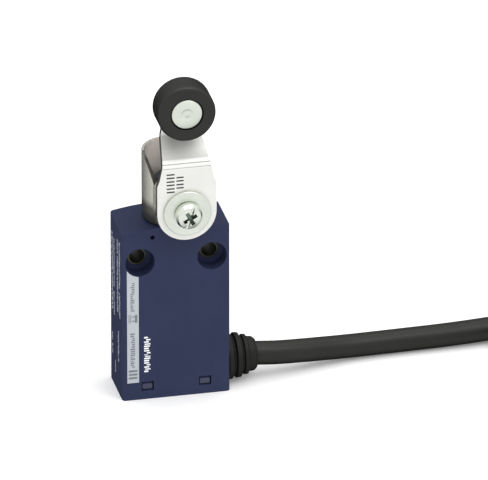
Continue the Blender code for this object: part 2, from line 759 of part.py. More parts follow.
def main():
    clear_scene()
    blue = material("blue_plastic", (0.035, 0.045, 0.11), 0.5)
    dark = material("dark_plastic", (0.02, 0.02, 0.025), 0.5)
    white = material("white_plastic", (0.75, 0.74, 0.7), 0.45)
    clear = material("smoke_plastic", (0.35, 0.35, 0.36), 0.3)
    paper = material("label_film", (0.6, 0.63, 0.68), 0.4)
    black = material("black_sheath", (0.03, 0.03, 0.027), 0.55)
    rubber = material("black_rubber", (0.02, 0.02, 0.018), 0.7)
    roller_black = material("roller_plastic", (0.03, 0.028, 0.025), 0.4)
    steel = material("polished_steel", (0.8, 0.8, 0.79), 0.25, 1.0)
    zinc = material("zinc_plate", (0.72, 0.76, 0.7), 0.3, 1.0)
    bronze = material("bronze", (0.55, 0.35, 0.18), 0.4, 1.0)
    brass = material("contact_brass", (0.75, 0.55, 0.25), 0.35, 1.0)
    core_looks = {
        "black": material("core_black", (0.02, 0.02, 0.02), 0.5),
        "white": material("core_white", (0.8, 0.8, 0.78), 0.5),
        "brown": material("core_brown", (0.18, 0.07, 0.03), 0.5),
        "blue": material("core_blue", (0.03, 0.12, 0.5), 0.5),
    }
    body_shell(blue)
    base_cover(blue)
    fixing_sleeves(steel)
    front_label(paper)
    operating_head(dark)
    head_bracket(steel)
    shaft_bushes(bronze)
    lever_shaft(steel)
    cam(steel)
    index_washer(steel)
    lever(steel)
    lever_fasteners(zinc)
    roller_set(roller_black, bronze, steel)
    plunger_set(white, steel)
    contact_block(white, clear)
    fixed_contacts(brass)
    moving_contacts(white, brass, steel)
    gland(rubber)
    inner_cable(black, dark, core_looks)
    free_cable(black, white, core_looks)


main()
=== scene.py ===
"""Looks for the roller-lever limit switch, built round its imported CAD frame.

The scene is in metres. Pieces are worked out in millimetres here, and MM turns them into metres.
"""

import math

import bmesh
import bpy
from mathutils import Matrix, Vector


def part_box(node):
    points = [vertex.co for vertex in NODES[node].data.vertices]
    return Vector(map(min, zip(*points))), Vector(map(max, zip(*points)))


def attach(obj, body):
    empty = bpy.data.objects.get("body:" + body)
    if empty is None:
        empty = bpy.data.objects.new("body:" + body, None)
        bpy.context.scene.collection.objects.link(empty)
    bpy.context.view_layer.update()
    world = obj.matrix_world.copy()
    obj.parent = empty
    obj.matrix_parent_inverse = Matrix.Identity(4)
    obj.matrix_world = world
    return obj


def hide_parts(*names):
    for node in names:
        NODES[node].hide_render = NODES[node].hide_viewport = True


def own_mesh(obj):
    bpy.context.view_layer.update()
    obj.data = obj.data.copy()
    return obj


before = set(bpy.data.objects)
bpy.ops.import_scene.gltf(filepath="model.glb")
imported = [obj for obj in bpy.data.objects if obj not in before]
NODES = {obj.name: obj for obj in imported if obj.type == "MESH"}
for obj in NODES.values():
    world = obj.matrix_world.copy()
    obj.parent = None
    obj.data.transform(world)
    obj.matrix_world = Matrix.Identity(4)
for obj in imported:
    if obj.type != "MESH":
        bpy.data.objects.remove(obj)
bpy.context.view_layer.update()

MM = 0.001
TAU = math.tau


def millimetres(node):
    """A node's box in millimetres."""
    low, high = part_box(node)
    return low / MM, high / MM


# Places measured from the frame, in millimetres
body_low, body_high = millimetres("body_shell")
label_low, label_high = millimetres("front_label")
bracket_low, bracket_high = millimetres("head_bracket")
gland_end = millimetres("cable_gland")[1].x
lever_front = millimetres("lever")[0].y
screw_low, screw_high = millimetres("lever_screw")
roller_low, roller_high = millimetres("roller")
pin_low, pin_high = millimetres("roller_pin")
tie_low, tie_high = millimetres("cable_tie")
bracket_rim_foot = millimetres("operating_head")[1].z + 0.6
pivot = (screw_low + screw_high) / 2
hub = (roller_low + roller_high) / 2

# The cable's route, as the CAD has it, in millimetres
CABLE_D = 6.6
HANK_FOLD_R = 3 * CABLE_D
HANK_OUTER_R = HANK_FOLD_R + CABLE_D
HANK_NEAR_X, HANK_FAR_X = 121.7, 193.1
CABLE_SIDE = 6.9
HANK_Y = CABLE_SIDE - HANK_OUTER_R
LOW_Z, HIGH_Z = 4.0, 4.0 + CABLE_D
CABLE_ROUTE = (
    (24.3, 0.0, 6.65),
    (27.0, 0.0, 6.4),
    (31.0, 0.35, 5.98),
    (37.0, 1.45, 5.3),
    (44.0, 3.05, 4.42),
    (51.0, 4.4, 3.72),
    (58.0, 5.15, 3.42),
    (68.0, 5.6, 3.35),
    (80.0, 5.95, 3.42),
    (92.0, 6.55, 3.7),
    (102.3, 6.9, 4.0),
)
TAIL_LENGTH = 42.0
TAIL_SHIFT, TAIL_EASE = 8.5, 30  # how far the tail moves inwards, and over what length
IN_GLAND = 0.7  # how far inside the gland the sheath begins

INK_THICK = 0.015


# ---------------------------------------------------------------- making things


def linked(obj):
    bpy.context.scene.collection.objects.link(obj)
    return obj


def mesh_object(name, bm, look, sharp=35):
    """An object from a bmesh in millimetres, shaded smooth but for its sharp edges."""
    bmesh.ops.scale(bm, vec=(MM, MM, MM), verts=bm.verts)
    mesh = bpy.data.meshes.new(name)
    bm.to_mesh(mesh)
    bm.free()
    mesh.materials.append(look)
    mesh.shade_smooth()
    mesh.set_sharp_from_angle(angle=math.radians(sharp))
    return linked(bpy.data.objects.new(name, mesh))


def settled(obj, body, *nodes, slot=None):
    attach(obj, body)
    if nodes:
        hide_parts(*nodes)
    return obj


def refined(node, look, body, slot, width=0.2, segments=2, parts=()):
    """A copy of a CAD node's mesh with its sharp edges rounded, standing for the node.

    Each part is another look and a test of the faces that take it.
    """
    angle = 30
    bm = bmesh.new()
    bm.from_mesh(NODES[node].data)
    bmesh.ops.scale(bm, vec=(1 / MM,) * 3, verts=bm.verts)
    bmesh.ops.remove_doubles(bm, verts=bm.verts, dist=2e-3)
    bmesh.ops.dissolve_limit(
        bm, angle_limit=math.radians(0.6), verts=bm.verts, edges=bm.edges, delimit={"NORMAL"}
    )
    bmesh.ops.recalc_face_normals(bm, faces=bm.faces)
    for face in bm.faces:
        taken = [i for i, (_, chosen) in enumerate(parts, 1) if chosen(face)]
        face.material_index = taken[0] if taken else 0
    obj = mesh_object(f"{node}_finish", bm, look, sharp=angle)
    for other, _ in parts:
        obj.data.materials.append(other)
    bevel = obj.modifiers.new("edges", "BEVEL")
    bevel.width = width * MM
    bevel.segments = segments
    bevel.limit_method = "ANGLE"
    bevel.angle_limit = math.radians(angle)
    bevel.harden_normals = True
    bevel.use_clamp_overlap = True
    bevel.miter_outer = "MITER_ARC"
    return settled(obj, body, node, slot=slot)


def turned(name, profile, centre, look, closed=True, sharp=35, rounding=0.0):
    """A lathe piece: (y, radius) points in millimetres, spun round a line along Y through centre."""
    if rounding:
        profile = softened(profile, rounding, closed)
    bm = bmesh.new()
    segments = 96
    rings = []
    for y, radius in profile:
        if radius < 1e-6:
            rings.append([bm.verts.new((centre.x, y, centre.z))])
            continue
        ring = []
        for i in range(segments):
            angle = TAU * i / segments
            x, z = centre.x + radius * math.cos(angle), centre.z + radius * math.sin(angle)
            ring.append(bm.verts.new((x, y, z)))
        rings.append(ring)
    pairs = list(zip(rings, rings[1:]))
    if closed:
        pairs.append((rings[-1], rings[0]))
    for first, second in pairs:
        for i in range(segments):
            j = (i + 1) % segments
            corners = [first[i % len(first)], first[j % len(first)]]
            corners += [second[j % len(second)], second[i % len(second)]]
            kept = []
            for corner in corners:
                if corner not in kept:
                    kept.append(corner)
            if len(kept) > 2:
                bm.faces.new(kept)
    bmesh.ops.recalc_face_normals(bm, faces=bm.faces)
    return mesh_object(name, bm, look, sharp)


def softened(profile, radius, closed):
    """The profile with each corner off the axis rounded by up to a radius."""
    points = [Vector(p) for p in profile]
    soft = []
    count = len(points)
    for i, here in enumerate(points):
        if not closed and i in (0, count - 1):
            soft.append(tuple(here))
            continue
        before, after = points[i - 1], points[(i + 1) % count]
        if here.y < 1e-6:
            soft.append(tuple(here))
            continue
        back, on = before - here, after - here
        reach = min(radius, back.length * 0.4, on.length * 0.4)
        start, end = here + back.normalized() * reach, here + on.normalized() * reach
        for t in (0.0, 0.25, 0.5, 0.75, 1.0):
            soft.append(tuple(start * (1 - t) ** 2 + here * 2 * t * (1 - t) + end * t**2))
    return soft


def plates(name, outlines, place, look, body):
    """Printed marks: each outline is a list of (u, v) points, and place(u, v, depth) puts them."""
    bm = bmesh.new()
    for outline in outlines:
        front = [bm.verts.new(place(u, v, INK_THICK)) for u, v in outline]
        back = [bm.verts.new(place(u, v, 0)) for u, v in outline]
        bm.faces.new(front)
        bm.faces.new(back[::-1])
        for i in range(len(front)):
            j = (i + 1) % len(front)
            bm.faces.new([front[j], front[i], back[i], back[j]])
    bmesh.ops.recalc_face_normals(bm, faces=bm.faces)
    return settled(mesh_object(name, bm, look), body)


def rounded_block(name, centre, size, radius, look):
    """A box with rounded edges and slightly drawn-in upper corners."""
    bm = bmesh.new()
    bmesh.ops.create_cube(bm, size=1)
    for vert in bm.verts:
        draw = 0.94 if vert.co.z > 0 else 1.0
        vert.co = Vector(
            (
                centre[0] + vert.co.x * size[0] * draw,
                centre[1] + vert.co.y * size[1] * draw,
                centre[2] + vert.co.z * size[2],
            )
        )
    bmesh.ops.bevel(bm, geom=bm.edges[:], offset=radius, segments=3, profile=0.5, affect="EDGES")
    return mesh_object(name, bm, look, sharp=60)


def bar(u0, v0, u1, v1):
    return [(u0, v0), (u1, v0), (u1, v1), (u0, v1)]


def curve_tube(name, points, diameter, look, rounding=6):
    """A round tube along smooth points in millimetres."""
    curve = bpy.data.curves.new(name, "CURVE")
    curve.dimensions = "3D"
    curve.bevel_depth = diameter / 2 * MM
    curve.bevel_resolution = rounding
    curve.use_fill_caps = True
    curve.resolution_u = 3
    spline = curve.splines.new("BEZIER")
    spline.bezier_points.add(len(points) - 1)
    for knot, place in zip(spline.bezier_points, points):
        knot.co = Vector(place) * MM
        knot.handle_left_type = knot.handle_right_type = "AUTO"
    curve.materials.append(look)
    return linked(bpy.data.objects.new(name, curve))


# ---------------------------------------------------------------- materials


def surface(
    name,
    color,
    roughness,
    metallic=0.0,
    vary=0.12,
    blotch=90.0,
    grain=2600.0,
    grain_depth=0.01,
    rough_vary=0.08,
    scratches=0.0,
    scratch_axis=(1, 1, 1),
    **sockets,
):
    """A procedural finish: blotchy colour, uneven gloss and a fine grain, at scales per metre."""
    made = bpy.data.materials.new(name)
    made.use_nodes = True
    tree = made.node_tree
    shader = tree.nodes["Principled BSDF"]
    shader.inputs["Metallic"].default_value = metallic
    for socket, value in sockets.items():
        shader.inputs[socket.replace("_", " ")].default_value = value
    where = tree.nodes.new("ShaderNodeTexCoord").outputs["Object"]

    def noise(scale, detail, source=where):
        node = tree.nodes.new("ShaderNodeTexNoise")
        node.inputs["Scale"].default_value = scale
        node.inputs["Detail"].default_value = detail
        tree.links.new(source, node.inputs["Vector"])
        return node.outputs["Fac"]

    ramp = tree.nodes.new("ShaderNodeValToRGB")
    low = [c * (1 - vary) for c in color]
    high = [min(1.0, c * (1 + vary)) for c in color]
    ramp.color_ramp.elements[0].position = 0.3
    ramp.color_ramp.elements[0].color = (*low, 1)
    ramp.color_ramp.elements[1].position = 0.7
    ramp.color_ramp.elements[1].color = (*high, 1)
    tree.links.new(noise(blotch, 3.0), ramp.inputs["Fac"])
    tree.links.new(ramp.outputs["Color"], shader.inputs["Base Color"])
    gloss = tree.nodes.new("ShaderNodeMapRange")
    gloss.inputs["To Min"].default_value = max(0.02, roughness - rough_vary)
    gloss.inputs["To Max"].default_value = min(1.0, roughness + rough_vary)
    tree.links.new(noise(blotch * 6, 4.0), gloss.inputs["Value"])
    tree.links.new(gloss.outputs["Result"], shader.inputs["Roughness"])
    bump = tree.nodes.new("ShaderNodeBump")
    bump.inputs["Strength"].default_value = 0.6
    bump.inputs["Distance"].default_value = grain_depth * MM
    height = noise(grain, 2.0)
    if scratches:
        stretch = tree.nodes.new("ShaderNodeMapping")
        stretch.inputs["Scale"].default_value = scratch_axis
        tree.links.new(where, stretch.inputs["Vector"])
        lines = noise(scratches, 3.0, stretch.outputs["Vector"])
        both = tree.nodes.new("ShaderNodeMath")
        both.operation = "ADD"
        tree.links.new(height, both.inputs[0])
        tree.links.new(lines, both.inputs[1])
        height = both.outputs["Value"]
    tree.links.new(height, bump.inputs["Height"])
    tree.links.new(bump.outputs["Normal"], shader.inputs["Normal"])
    return made


def shaded_along(look, direction, stops):
    """Paints shade and light into a finish's colour: multiplies it by tones along a direction, (distance
    in millimetres, tone) stops.
    """
    tree = look.node_tree
    shader = tree.nodes["Principled BSDF"]
    under = shader.inputs["Base Color"].links[0].from_socket
    along = tree.nodes.new("ShaderNodeVectorMath")
    along.operation = "DOT_PRODUCT"
    along.inputs[1].default_value = direction
    tree.links.new(tree.nodes.new("ShaderNodeTexCoord").outputs["Object"], along.inputs[0])
    first, last = stops[0][0], stops[-1][0]
    place = tree.nodes.new("ShaderNodeMapRange")
    place.inputs["From Min"].default_value = first * MM
    place.inputs["From Max"].default_value = last * MM
    tree.links.new(along.outputs["Value"], place.inputs["Value"])
    ramp = tree.nodes.new("ShaderNodeValToRGB")
    marks = ramp.color_ramp.elements
    while len(marks) < len(stops):
        marks.new(1.0)
    for mark, (distance, tone) in zip(marks, stops):
        mark.position = (distance - first) / (last - first)
        mark.color = (tone, tone, tone, 1)
    tree.links.new(place.outputs["Result"], ramp.inputs["Fac"])
    both = tree.nodes.new("ShaderNodeMix")
    both.data_type = "RGBA"
    both.blend_type = "MULTIPLY"
    both.inputs["Factor"].default_value = 1.0
    tree.links.new(under, both.inputs["A"])
    tree.links.new(ramp.outputs["Color"], both.inputs["B"])
    tree.links.new(both.outputs["Result"], shader.inputs["Base Color"])
    return look


BLUE = surface(
    "navy_moulding",
    (0.023, 0.03, 0.073),
    0.6,
    vary=0.06,
    grain=3200,
    grain_depth=0.006,
    rough_vary=0.05,
    Specular_IOR_Level=0.16,
)
TAB = surface("tab_moulding", (0.05, 0.055, 0.095), 0.55, vary=0.08, Specular_IOR_Level=0.25)
HEAD = surface("dark_moulding", (0.02, 0.022, 0.03), 0.55, Specular_IOR_Level=0.3)
WHITE = surface("white_moulding", (0.72, 0.71, 0.66), 0.45, vary=0.04)
SMOKE = surface("smoke_moulding", (0.3, 0.3, 0.31), 0.25, vary=0.05)
LABEL = surface(
    "label_film", (0.43, 0.46, 0.49), 0.45, vary=0.05, grain_depth=0.004, Specular_IOR_Level=0.3
)
LABEL_INK = surface("label_ink", (0.16, 0.18, 0.2), 0.5, vary=0.2, blotch=900)
SIDE_INK = surface("side_ink", (0.42, 0.46, 0.52), 0.5, vary=0.35, blotch=1200)
WHITE_INK = surface("white_ink", (0.82, 0.83, 0.85), 0.45, vary=0.1, blotch=900)
BLACK_INK = surface("black_ink", (0.02, 0.02, 0.02), 0.5, vary=0.2, blotch=900)
SHEATH = surface(
    "cable_sheath",
    (0.012, 0.012, 0.0095),
    0.38,
    grain=1800,
    grain_depth=0.012,
    rough_vary=0.08,
    Specular_IOR_Level=0.28,
)
RUBBER = surface(
    "gland_rubber",
    (0.006, 0.006, 0.005),
    0.55,
    grain=2400,
    grain_depth=0.015,
    Specular_IOR_Level=0.25,
)
ROLLER = surface(
    "roller_moulding",
    (0.008, 0.0075, 0.006),
    0.38,
    grain=2000,
    grain_depth=0.008,
    Specular_IOR_Level=0.42,
)


def bright_steel(name):
    return surface(
        name,
        (0.68, 0.67, 0.6),
        0.24,
        metallic=0.72,
        vary=0.05,
        rough_vary=0.04,
        grain=1500,
        grain_depth=0.002,
    )


STEEL = bright_steel("bright_steel")
BRACKET_STEEL_AND_SHADE = bright_steel("bracket_steel_and_painted_shade")
INNER_STEEL_AND_SHADE = surface(
    "satin_steel_and_painted_shade",
    (0.66, 0.61, 0.56),
    0.5,
    metallic=0.35,
    vary=0.06,
    rough_vary=0.05,
    grain=1500,
    grain_depth=0.002,
)
# The bracket's rim edge, near-black as a painted dark reflection
RIM_EDGE_SHADE = surface(
    "rim_edge_painted_shade",
    (0.1, 0.095, 0.085),
    0.4,
    metallic=1.0,
    vary=0.2,
    grain=2500,
    grain_depth=0.01,
)
# The fixing sleeves, near-black as painted shade inside the casing's bores
SLEEVE_SHADE = surface(
    "sleeve_steel_painted_shade",
    (0.06, 0.063, 0.05),
    0.35,
    metallic=1.0,
    vary=0.5,
    grain=1500,
    grain_depth=0.004,
    scratches=1400,
    scratch_axis=(1, 0.05, 1),
)
# The lever's nickel plate; its fold lines and slope take painted reflection and shade below
LEVER_STEEL_AND_SHADE = surface(
    "nickel_plate_and_painted_shade",
    (0.86, 0.86, 0.83),
    0.6,
    metallic=0.7,
    vary=0.03,
    rough_vary=0.05,
    grain=1600,
    grain_depth=0.003,
)
# The lever's side edges and underside, darker than its plate as painted shade and dark reflection
LEVER_EDGE_SHADE = surface(
    "lever_edge_painted_shade",
    (0.3, 0.3, 0.26),
    0.4,
    metallic=1.0,
    vary=0.2,
    grain=2200,
    grain_depth=0.008,
)
ZINC = surface(
    "clear_zinc",
    (0.76, 0.8, 0.72),
    0.33,
    metallic=1.0,
    vary=0.05,
    blotch=260,
    rough_vary=0.06,
    grain=1400,
    grain_depth=0.004,
)
SCREW = surface(
    "bright_zinc",
    (0.76, 0.8, 0.72),
    0.14,
    metallic=1.0,
    vary=0.05,
    blotch=400,
    rough_vary=0.05,
    grain=1400,
    grain_depth=0.004,
)
# The screw's cross recess and slot, near-black as painted shade in the hollows
RECESS_SHADE = surface(
    "recess_painted_shade", (0.16, 0.2, 0.16), 0.3, metallic=1.0, vary=0.4, blotch=900, grain_depth=0.01
)
BRONZE = surface("sintered_bronze", (0.5, 0.33, 0.18), 0.4, metallic=1.0, grain=4200)
BRASS = surface("contact_brass", (0.75, 0.56, 0.27), 0.35, metallic=1.0)
COPPER = surface("tinned_copper", (0.78, 0.5, 0.36), 0.35, metallic=1.0, scratches=3000)
CORE_LOOKS = {
    "black": surface("core_black", (0.02, 0.02, 0.02), 0.45),
    "white": surface("core_white", (0.78, 0.78, 0.75), 0.45, vary=0.04),
    "brown": surface("core_brown", (0.16, 0.06, 0.025), 0.45),
    "blue": surface("core_blue", (0.03, 0.12, 0.48), 0.45),
}
NYLON = surface("tie_nylon", (0.74, 0.73, 0.68), 0.4, vary=0.04)
FLOOR = surface(
    "floor_card",
    (0.9, 0.9, 0.9),
    0.8,
    vary=0.01,
    grain_depth=0.004,
    Emission_Color=(1, 1, 1, 1),
    Emission_Strength=0.15,
)
# Painted reflection and shade on the lever, by height: two thin dark lines across its fold stand in for
# the bend's reflection bands, and its slope is darkened as painted shade
shaded_along(
    LEVER_STEEL_AND_SHADE,
    (0, 0, 1),
    (
        (70.0, 1.0),
        (70.8, 1.0),
        (70.88, 0.5),
        (70.98, 0.5),
        (71.06, 1.0),
        (71.85, 1.0),
        (71.94, 0.42),
        (72.08, 0.42),
        (72.17, 1.0),
        (72.75, 1.0),
        (73.0, 0.74),
        (74.6, 1.0),
        (77.2, 1.0),
        (78.0, 1.0),
    ),
)
# The foot of the head bracket, darkened beside the casing by height as painted shade
shaded_along(BRACKET_STEEL_AND_SHADE, (0, 0, 1), ((52.0, 0.12), (56.2, 0.2), (58.4, 1.0), (59.0, 1.0)))
# The bracket's inside, with a dark band of painted shade just inside its sheared rim and a slight
# painted lightening beyond, by distance across the rim's slope
RIM_REACH, RIM_RISE = 7.2, 13.35
shaded_along(
    INNER_STEEL_AND_SHADE,
    Vector((0, RIM_RISE, -RIM_REACH)).normalized(),
    ((-37.5, 0.9), (-36.0, 0.6), (-35.1, 0.02), (-32.7, 0.02), (-30.6, 0.9), (-28.0, 1.1)),
)


# ---------------------------------------------------------------- camera


def place_camera():
    """A long lens from the front, a little to the left and well above."""
    azimuth, elevation = math.radians(-12.6), math.radians(25.8)
    back = Vector(
        (
            math.sin(azimuth) * math.cos(elevation),
            -math.cos(azimuth) * math.cos(elevation),
            math.sin(elevation),
        )
    )
    turn = (-back).to_track_quat("-Z", "Y")
    right, up = turn @ Vector((1, 0, 0)), turn @ Vector((0, 1, 0))
    aside, above = 20.14, 16.62  # millimetres, from the casing's middle to the middle of the view
    target = Vector((0, 0, 25)) + aside * right + above * up
    distance, seen = 3.0, 0.1329  # metres: to the object, and the width of the view there
    data = bpy.data.cameras.new("camera")
    data.sensor_width = 36
    data.lens = data.sensor_width * distance / seen
    data.clip_start, data.clip_end = 0.05, 20
    camera = linked(bpy.data.objects.new("camera", data))
    camera.location = target * MM + back * distance
    camera.rotation_mode = "QUATERNION"
    camera.rotation_quaternion = turn
    bpy.context.scene.camera = camera


# ---------------------------------------------------------------- cable


def fold(near, radius, heights):
    """Half a turn at one end of the hank."""
    steps = 14
    x = HANK_NEAR_X if near else HANK_FAR_X
    first = -90 if near else 90
    points = []
    for i in range(steps + 1):
        share = i / steps
        angle = math.radians(first - 180 * share)
        rise = (1 - math.cos(math.pi * share)) / 2
        z = heights[0] + (heights[1] - heights[0]) * rise
        points.append((x + radius * math.cos(angle), HANK_Y + radius * math.sin(angle), z))
    return points


def run(side, first_r, last_r, z):
    """A straight stretch between the folds, its inner points only."""
    steps = 5
    ends = (HANK_NEAR_X, HANK_FAR_X) if side > 0 else (HANK_FAR_X, HANK_NEAR_X)
    points = []
    for i in range(1, steps):
        share = i / steps
        radius = first_r + (last_r - first_r) * (1 - math.cos(math.pi * share)) / 2
        points.append((ends[0] + (ends[1] - ends[0]) * share, HANK_Y + side * radius, z))
    return points


def cord_points():
    """The whole cable: out of the gland, up the hank's outer laps, down its inner ones, and the tail."""
    wide, tight = HANK_OUTER_R, HANK_FOLD_R
    points = [(gland_end - IN_GLAND, 0.0, CABLE_ROUTE[0][2] + 0.03), *CABLE_ROUTE]
    for x in (112.0, HANK_NEAR_X, 136.0, 150.3, 164.5, 178.8):
        points.append((x, CABLE_SIDE, LOW_Z))
    points += fold(False, wide, (LOW_Z, LOW_Z))
    points += run(-1, wide, wide, LOW_Z)
    points += fold(True, wide, (LOW_Z, HIGH_Z))
    points += run(1, wide, wide, HIGH_Z)
    points += fold(False, wide, (HIGH_Z, HIGH_Z))
    points += run(-1, wide, tight, HIGH_Z)
    points += fold(True, tight, (HIGH_Z, HIGH_Z))
    points += run(1, tight, tight, HIGH_Z)
    points += fold(False, tight, (HIGH_Z, LOW_Z))
    points += run(-1, tight, tight, LOW_Z)
    points += fold(True, tight, (LOW_Z, LOW_Z))
    for i in range(1, 7):
        x = HANK_NEAR_X + TAIL_LENGTH * i / 6
        share = min((x - HANK_NEAR_X) / TAIL_EASE, 1)
        offset = tight - TAIL_SHIFT * (1 - math.cos(math.pi * share)) / 2
        points.append((x, HANK_Y + offset, LOW_Z))
    return points


def core_curves():
    """The four cores that the sheath is stripped back from, each with a bared tip."""
    core_d, strand_d = 1.4, 0.8
    hidden, bared = 0.5, 4.0  # how much of a core is inside the sheath, and how much is bare copper
    made = []
    for name, look in CORE_LOOKS.items():
        low, high = millimetres(f"free_core_{name}")
        start_x, end_x = low.x - hidden, high.x - bared
        verts = [v.co / MM for v in NODES[f"free_core_{name}"].data.vertices]
        near = [v for v in verts if v.x < low.x + 0.3]
        far = [v for v in verts if v.x > high.x - 0.6]
        first = sum(near, Vector()) / len(near)
        last = sum(far, Vector()) / len(far)
        points = []
        for i in range(7):
            share = i / 6
            x = start_x + (end_x - start_x) * share
            part = (x - first.x) / (last.x - first.x)
            y = first.y + (last.y - first.y) * max(part, 0) ** 2
            points.append((x, y, first.z + (last.z - first.z) * part))
        core = curve_tube(f"core_{name}", points, core_d, look, rounding=4)
        settled(core, "housing", f"free_core_{name}", slot=f"core_{name}")
        slope = Vector(points[-1]) - Vector(points[-2])
        slope.normalize()
        tip = [tuple(Vector(points[-1]) + slope * d) for d in (-0.4, 1.2, 2.6, 3.9)]
        strands = curve_tube(f"core_tip_{name}", tip, strand_d, COPPER, rounding=3)
        settled(strands, "housing")
        made += [core, strands]
    return made


def cable_tie():
    """A nylon strap round three runs of the hank, with its locking head and cut tail."""
    x = (tie_low.x + tie_high.x) / 2
    middle = (tie_low.y + tie_high.y) / 2
    half_w, thick, slack = 1.7, 0.65, 0.05
    low, high = 0.68, HIGH_Z + CABLE_D / 2 + slack
    half = CABLE_D + slack
    loop = []
    radius = CABLE_D / 2
    corners = (
        (middle + half - radius, low + radius, -90),
        (middle + half - radius, high - radius, 0),
        (middle - half + radius, high - radius, 90),
        (middle - half + radius, low + radius, 180),
    )
    for y, z, first in corners:
        for i in range(9):
            angle = math.radians(first + 90 * i / 8)
            loop.append((y, z, math.cos(angle), math.sin(angle)))
    bm = bmesh.new()
    rows = []
    for across in (-half_w, half_w):
        for depth in (0.0, thick):
            rows.append(
                [
                    bm.verts.new((x + across, y + (radius + depth) * c, z + (radius + depth) * s))
                    for y, z, c, s in loop
                ]
            )
    inner_a, outer_a, inner_b, outer_b = rows
    for i in range(len(loop)):
        j = (i + 1) % len(loop)
        bm.faces.new([outer_a[i], outer_a[j], outer_b[j], outer_b[i]])
        bm.faces.new([inner_a[j], inner_a[i], inner_b[i], inner_b[j]])
        bm.faces.new([inner_a[i], inner_a[j], outer_a[j], outer_a[i]])
        bm.faces.new([inner_b[j], inner_b[i], outer_b[i], outer_b[j]])
    bmesh.ops.recalc_face_normals(bm, faces=bm.faces)
    strap = mesh_object("tie_strap", bm, NYLON, sharp=50)
    settled(strap, "housing", "cable_tie", slot="white_plastic")
    head_y = middle + half - radius
    head = rounded_block("tie_head", (x, head_y, high + 1.6), (4.4, 4.6, 3.0), 0.5, NYLON)
    settled(head, "housing")
    tail = rounded_block("tie_end", (x, head_y, high + 4.6), (2.6, 0.75, 3.4), 0.25, NYLON)
    settled(tail, "housing")
    return [strap, head, tail]


def cable():
    carried = core_curves() + cable_tie()
    sheath = curve_tube("cable_sheath", cord_points(), CABLE_D, SHEATH)
    settled(sheath, "housing", "cable", "cable_hank", "cable_tail", slot="black_sheath")


# ---------------------------------------------------------------- floor and light


def stage():
    """A white floor, a studio that is bright in front and above and dark behind and below, two lamps."""
    bm = bmesh.new()
    bmesh.ops.create_grid(bm, x_segments=2, y_segments=2, size=6000)
    floor = mesh_object("floor", bm, FLOOR)
    floor.visible_glossy = False
    scene = bpy.context.scene
    scene.view_settings.view_transform = "Standard"
    world = bpy.data.worlds.new("studio")
    scene.world = world
    world.use_nodes = True
    tree = world.node_tree
    tree.nodes["Background"].inputs["Color"].default_value = (1, 1, 1, 1)
    brightest = Vector((-0.1, -0.75, 0.65)).normalized()
    toward = tree.nodes.new("ShaderNodeVectorMath")
    toward.operation = "DOT_PRODUCT"
    toward.inputs[1].default_value = brightest
    fade = tree.nodes.new("ShaderNodeMapRange")
    fade.inputs["From Min"].default_value = -0.78
    fade.inputs["From Max"].default_value = 0.1
    fade.inputs["To Min"].default_value = 0.03
    fade.inputs["To Max"].default_value = 1.0
    tree.links.new(tree.nodes.new("ShaderNodeTexCoord").outputs["Generated"], toward.inputs[0])
    tree.links.new(toward.outputs["Value"], fade.inputs["Value"])
    tree.links.new(fade.outputs["Result"], tree.nodes["Background"].inputs["Strength"])
    lights = (
        ("key", (0.6, -0.7, 1.3), 0.8, 5.0),
        ("overhead", (0.1, 0.2, 1.6), 1.6, 9.0),
    )
    middle = Vector((0.02, 0, 0.05))
    for name, place, size, power in lights:
        data = bpy.data.lights.new(name, "AREA")
        data.size = size
        data.energy = power
        light = linked(bpy.data.objects.new(name, data))
        light.location = place
        aim = middle - Vector(place)
        light.rotation_mode = "QUATERNION"
        light.rotation_quaternion = aim.to_track_quat("-Z", "Y")


# ---------------------------------------------------------------- pieces


def dress(looks):
    """Gives the CAD nodes that stay as they are their finish."""
    for look, nodes in looks:
        for node in nodes:
            obj = NODES[node]
            for i in range(max(1, len(obj.material_slots))):
                if obj.material_slots:
                    obj.material_slots[i].material = look
                else:
                    obj.data.materials.append(look)


def sloping_rim(face):
    """The sheared edge of the head bracket, from its top down to the front, which takes a painted dark
    reflection.
    """
    height = face.calc_center_median().z
    return 0.25 < face.normal.z < 0.995 and height > bracket_rim_foot


def bracket_inside(face):
    """The bracket's inner faces, which look towards its middle."""
    outward = face.calc_center_median() - (bracket_low + bracket_high) / 2
    return abs(face.normal.z) < 0.3 and outward.x * face.normal.x + outward.y * face.normal.y < 0


def lever_edge(face):
    """The cut edges of the lever, which run through its thickness, and its downward faces; they take
    painted shade.
    """
    return abs(face.normal.x) > 0.75 or face.normal.z < -0.75


def cover_tab(face):
    """The outer ends of the base cover's snap tabs, which show in the casing's windows."""
    return abs(face.normal.y) > 0.9 and abs(face.calc_center_median().y) > body_high.y - 1.2


def screw_recess(face):
    """The walls and floors of the cross recess and the slot, which take painted shade."""
    reach, wall_depth, floor_depth = 3.5, 2.0, 1.2
    middle = face.calc_center_median()
    depth = middle.y - screw_low.y
    if depth > wall_depth or math.hypot(middle.x - pivot.x, middle.z - pivot.z) > reach:
        return False
    return abs(face.normal.y) < 0.2 or (face.normal.y < -0.98 and depth > floor_depth)


def casing():
    refined("body_shell", BLUE, "housing", "blue_plastic", width=0.35, segments=3)
    refined(
        "base_cover", BLUE, "housing", "blue_plastic", width=0.15, parts=((TAB, cover_tab),)
    )
    refined("operating_head", HEAD, "housing", "dark_plastic", width=0.2)
    refined(
        "head_bracket",
        BRACKET_STEEL_AND_SHADE,
        "housing",
        "polished_steel",
        width=0.15,
        parts=((RIM_EDGE_SHADE, sloping_rim), (INNER_STEEL_AND_SHADE, bracket_inside)),
    )
    refined("cable_gland", RUBBER, "housing", "black_rubber", width=0.18, segments=3)


